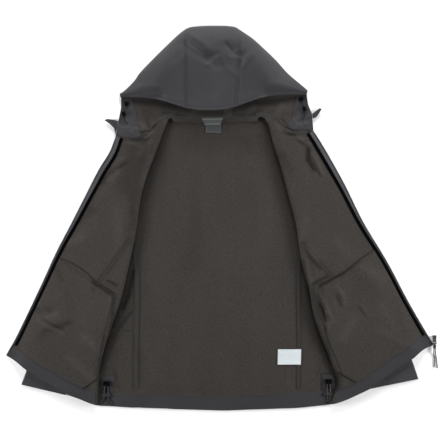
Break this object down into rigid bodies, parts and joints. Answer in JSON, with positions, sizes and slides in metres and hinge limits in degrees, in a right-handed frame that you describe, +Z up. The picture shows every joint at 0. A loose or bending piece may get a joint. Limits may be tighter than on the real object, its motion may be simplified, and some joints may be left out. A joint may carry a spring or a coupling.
{
  "type": "softshell jacket",
  "caption": "Hooded zip softshell jacket laid open on its back, lining up, hood folded over, sleeves tucked under the spread fronts",
  "frame": {"origin": "on the surface the jacket lies on, under the middle of its outline", "axes": "+X to the right as seen from above, +Y from hem to hood, +Z up out of the lining"},
  "size_m": [1.0786, 0.9608, 0.0432],
  "materials": {
    "shell": "charcoal woven softshell, matte with a slight sheen",
    "lining": "brown-grey micro fleece with a fine vertical rib",
    "facing": "grey outer cloth used as facing, matte",
    "zip_tape": "grey woven zip tape",
    "neck_tape": "grey herringbone tape",
    "binding": "black knitted binding, matte",
    "hardware": "black moulded plastic, satin",
    "cord": "black braided cord",
    "slider": "dark lacquered zip slider",
    "dark_label": "dark woven label, blank",
    "white_label": "white satin care label, blank"
  },
  "bodies": {
    "root": {"back_centre": "lining", "back_side_L": "lining", "back_side_R": "lining", "back_tape_L": "lining", "back_tape_R": "lining", "care_label": "white_label", "chin_guard_L": "facing", "chin_guard_R": "facing", "front_L": "lining", "front_R": "lining", "hanger_loop": "neck_tape", "hem_cord_L_1": "cord", "hem_cord_L_2": "cord", "hem_cord_R_1": "cord", "hem_cord_R_2": "cord", "hem_eyelet_L": "hardware", "hem_eyelet_R": "hardware", "hem_facing_back": "facing", "hem_facing_front_L": "facing", "hem_facing_front_R": "facing", "hem_lock_L": "hardware", "hem_lock_R": "hardware", "hem_patch_L": "facing", "hem_patch_R": "facing", "hood_centre": "shell", "hood_cord_L": "cord", "hood_cord_R": "cord", "hood_eyelet_L": "hardware", "hood_eyelet_R": "hardware", "hood_facing_L": "facing", "hood_facing_R": "facing", "hood_lock_L": "hardware", "hood_lock_R": "hardware", "hood_neck": "lining", "hood_side_L": "shell", "hood_side_R": "shell", "neck_label": "dark_label", "neck_tape": "neck_tape", "pocket_bag_L": "lining", "pocket_bag_R": "lining", "pocket_tape_L": "lining", "pocket_tape_R": "lining", "sleeve_L": "shell", "sleeve_R": "shell", "zip_binding_L": "binding", "zip_binding_R": "binding", "zip_slider": "slider", "zip_tape_L": "zip_tape", "zip_tape_R": "zip_tape"},
    "pull": {"zip_pull": "slider", "pull_cord_1": "cord", "pull_cord_2": "cord"}
  },
  "joints": [
    {"name": "pull_hinge", "type": "hinge", "parent": "root", "child": "pull", "pos_m": [0.53225, -0.312, 0.0062], "axis": [-1, 0, 0], "range_deg": [0, 125]}
  ]
}
